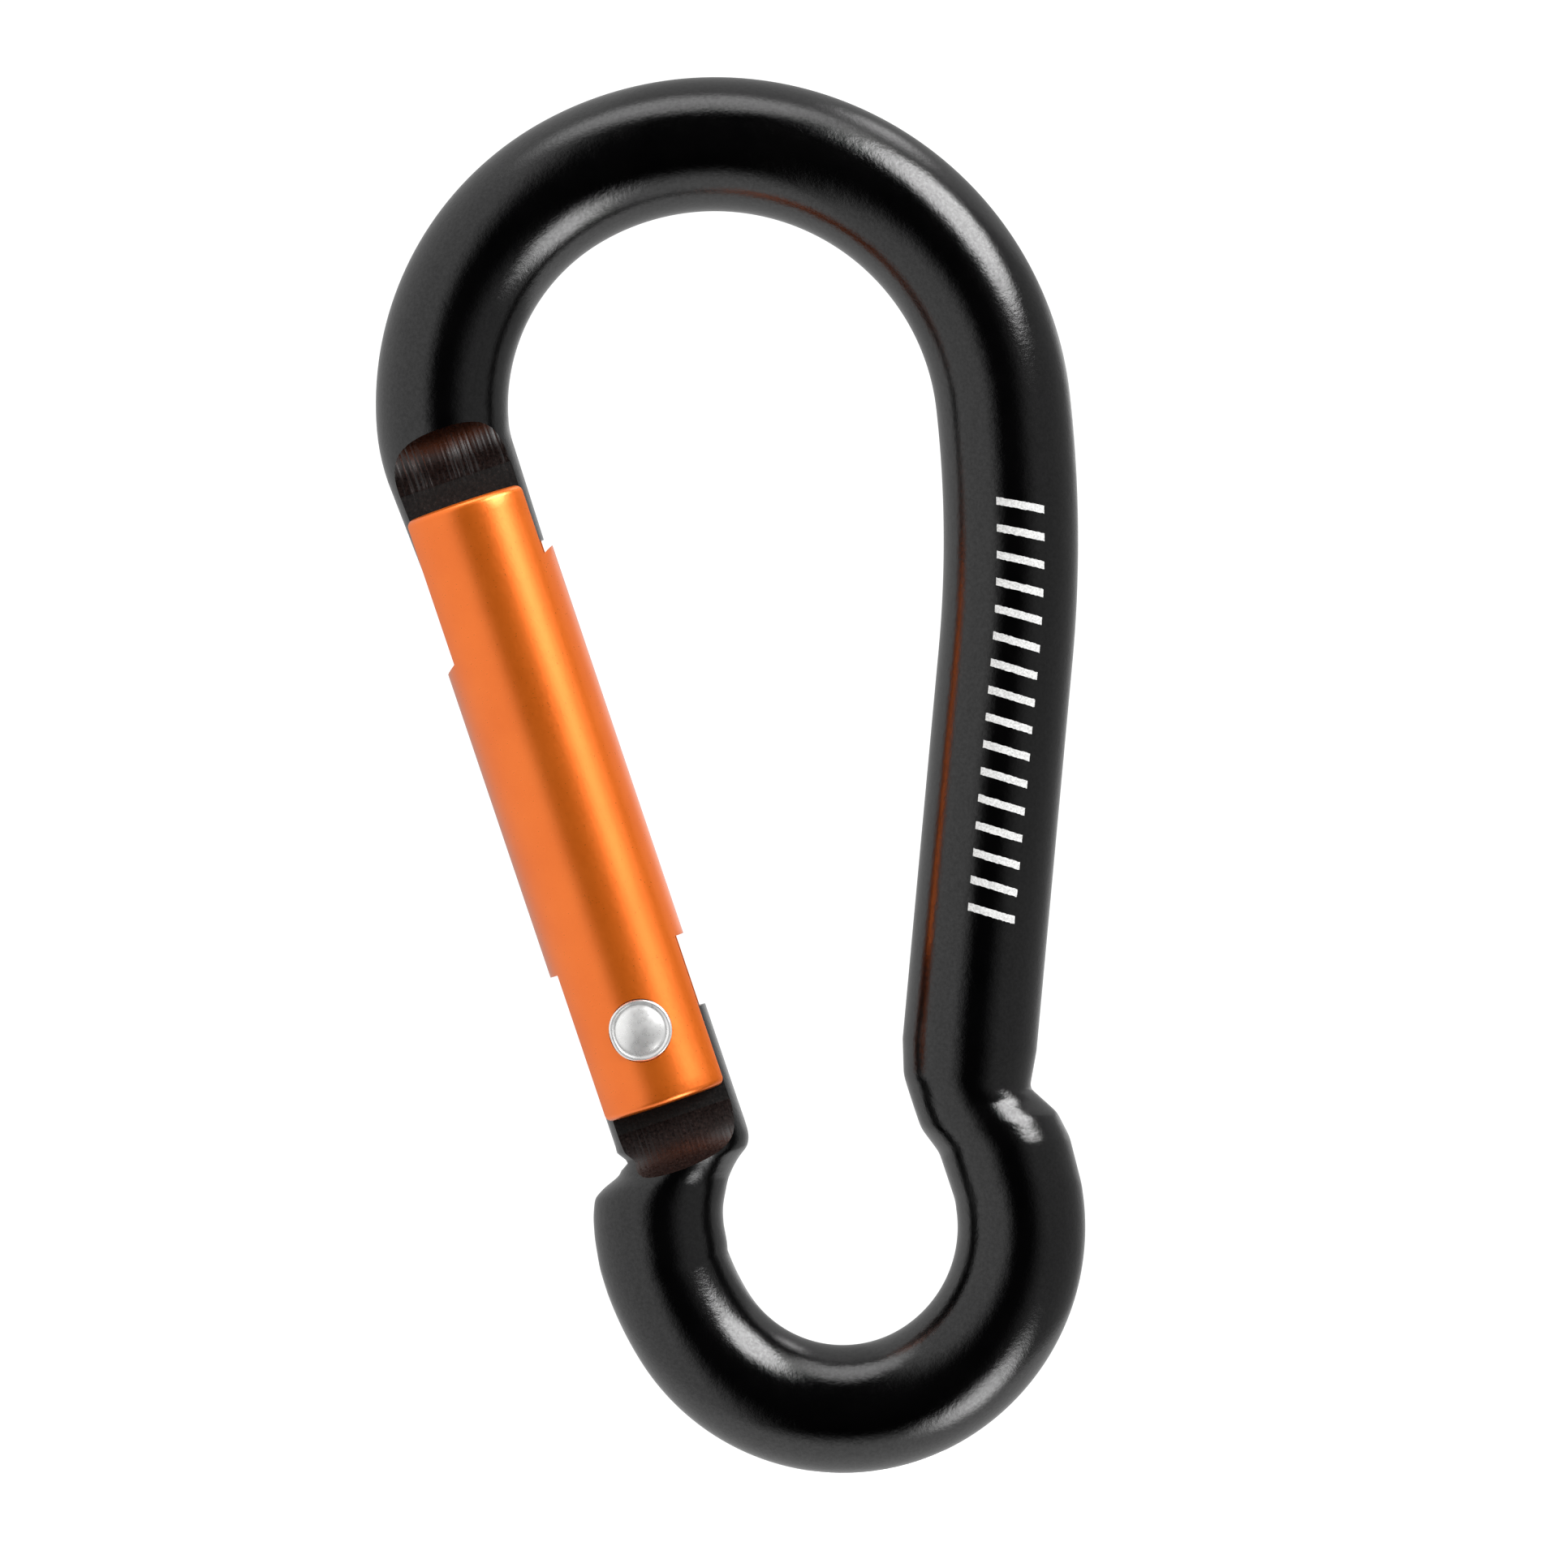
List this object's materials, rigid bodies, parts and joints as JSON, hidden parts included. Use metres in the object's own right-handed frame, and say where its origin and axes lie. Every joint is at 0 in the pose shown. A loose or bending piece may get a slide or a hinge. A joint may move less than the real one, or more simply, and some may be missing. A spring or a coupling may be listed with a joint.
{
  "type": "accessory carabiner",
  "caption": "Gourd-shaped accessory carabiner: a bent round rod with a large and a small bow and a sprung, slotted rod gate that opens inward.",
  "frame": {"origin": "crown of the large bow, on the inside of the rod, where a cord or ring hangs", "axes": "+Z along the long axis from the small bow to the large bow, +X from the gate to the spine, Y across the thickness"},
  "size_m": [0.0396, 0.0084, 0.0802],
  "materials": {
    "black_anodised": "black anodised over a polished rod, glossy; the milled tangs are duller",
    "orange_anodised": "orange anodised, satin with a fine grain",
    "bright_rivet": "bare, bright, peened",
    "plunger_steel": "plain turned",
    "spring_steel": "drawn wire"
  },
  "bodies": {
    "body": {"body": "black_anodised"},
    "gate": {"gate": "orange_anodised", "pivot_rivet": "bright_rivet", "spring": "spring_steel"},
    "plunger": {"plunger": "plunger_steel"}
  },
  "joints": [
    {"name": "gate_hinge", "type": "hinge", "parent": "body", "child": "gate", "pos_m": [-0.00933, 0, -0.04554], "axis": [0, 1, 0], "range_deg": [0, 46], "stiffness_Nm_per_rad": 0.15, "springref_deg": -41.83},
    {"name": "plunger_slide", "type": "slide", "parent": "gate", "child": "plunger", "axis": [-0.1712, 0, 0.9852], "range_m": [0, 0.00075], "deforming": ["spring"]}
  ],
  "couplings": [
    {"joint": "plunger_slide", "follows": "gate_hinge", "m_per_rad": 0.0009}
  ]
}
